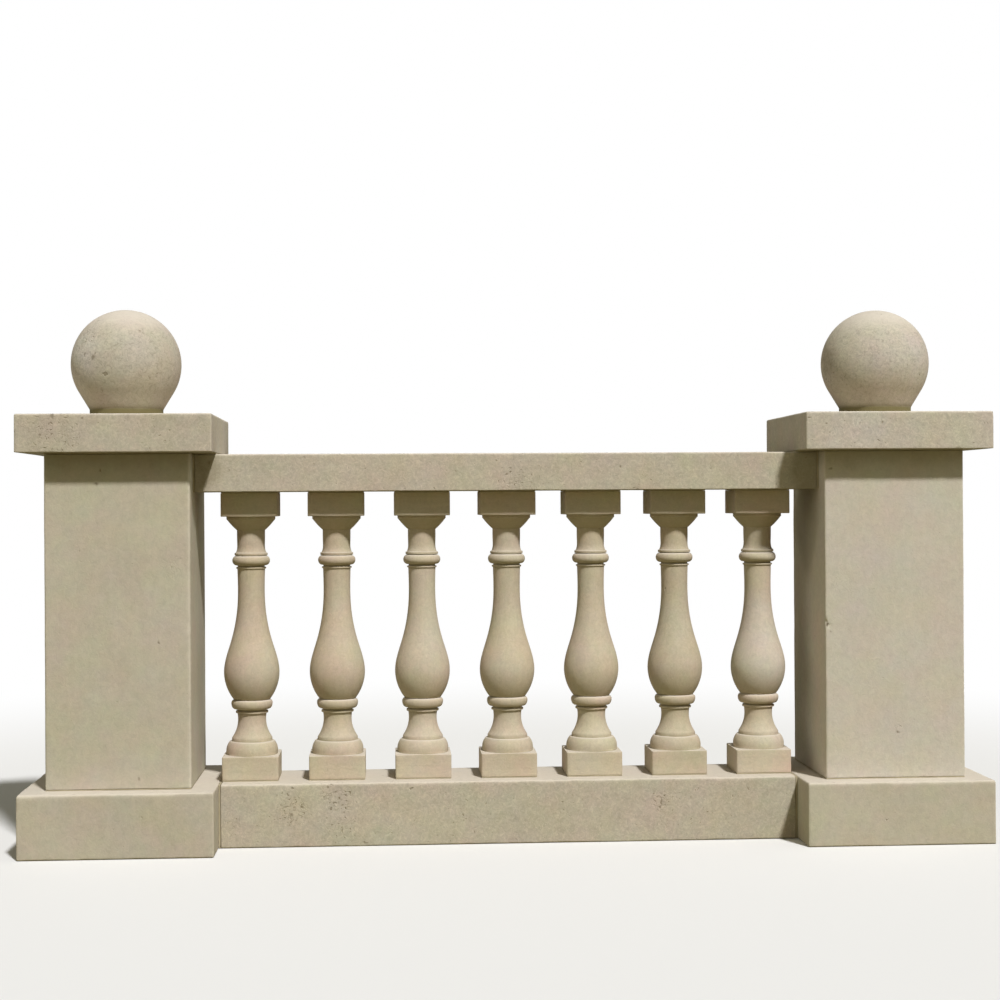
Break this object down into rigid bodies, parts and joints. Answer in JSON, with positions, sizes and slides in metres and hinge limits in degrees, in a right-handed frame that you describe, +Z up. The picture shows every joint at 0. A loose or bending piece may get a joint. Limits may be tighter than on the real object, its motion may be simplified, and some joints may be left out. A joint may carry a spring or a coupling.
{
  "type": "stone balustrade bay",
  "caption": "Stone balustrade bay with square piers, plinths, flat caps and ball finials, joined by a bottom rail and a top rail with turned balusters between them.",
  "frame": {"origin": "on the ground under the middle of the bay, halfway between the piers and between front and back", "axes": "+X along the bay towards the right pier, +Y from the front to the back, +Z up"},
  "size_m": [2.032, 0.4, 1.142],
  "materials": {
    "limestone": "dressed, lightly weathered",
    "mortar": "recessed lime mortar"
  },
  "bodies": {
    "root": {"left_plinth": "limestone", "left_shaft": "limestone", "left_cap": "limestone", "left_ball": "limestone", "right_plinth": "limestone", "right_shaft": "limestone", "right_cap": "limestone", "right_ball": "limestone", "bottom_rail": "limestone", "top_rail": "limestone", "baluster_1": "limestone", "baluster_2": "limestone", "baluster_3": "limestone", "baluster_4": "limestone", "baluster_5": "limestone", "baluster_6": "limestone", "baluster_7": "limestone", "left_shaft_bed": "mortar", "left_cap_bed": "mortar", "left_ball_bed": "mortar", "left_bottom_rail_joint": "mortar", "left_top_rail_joint": "mortar", "right_shaft_bed": "mortar", "right_cap_bed": "mortar", "right_ball_bed": "mortar", "right_bottom_rail_joint": "mortar", "right_top_rail_joint": "mortar", "baluster_foot_beds": "mortar", "baluster_head_beds": "mortar"}
  },
  "joints": []
}
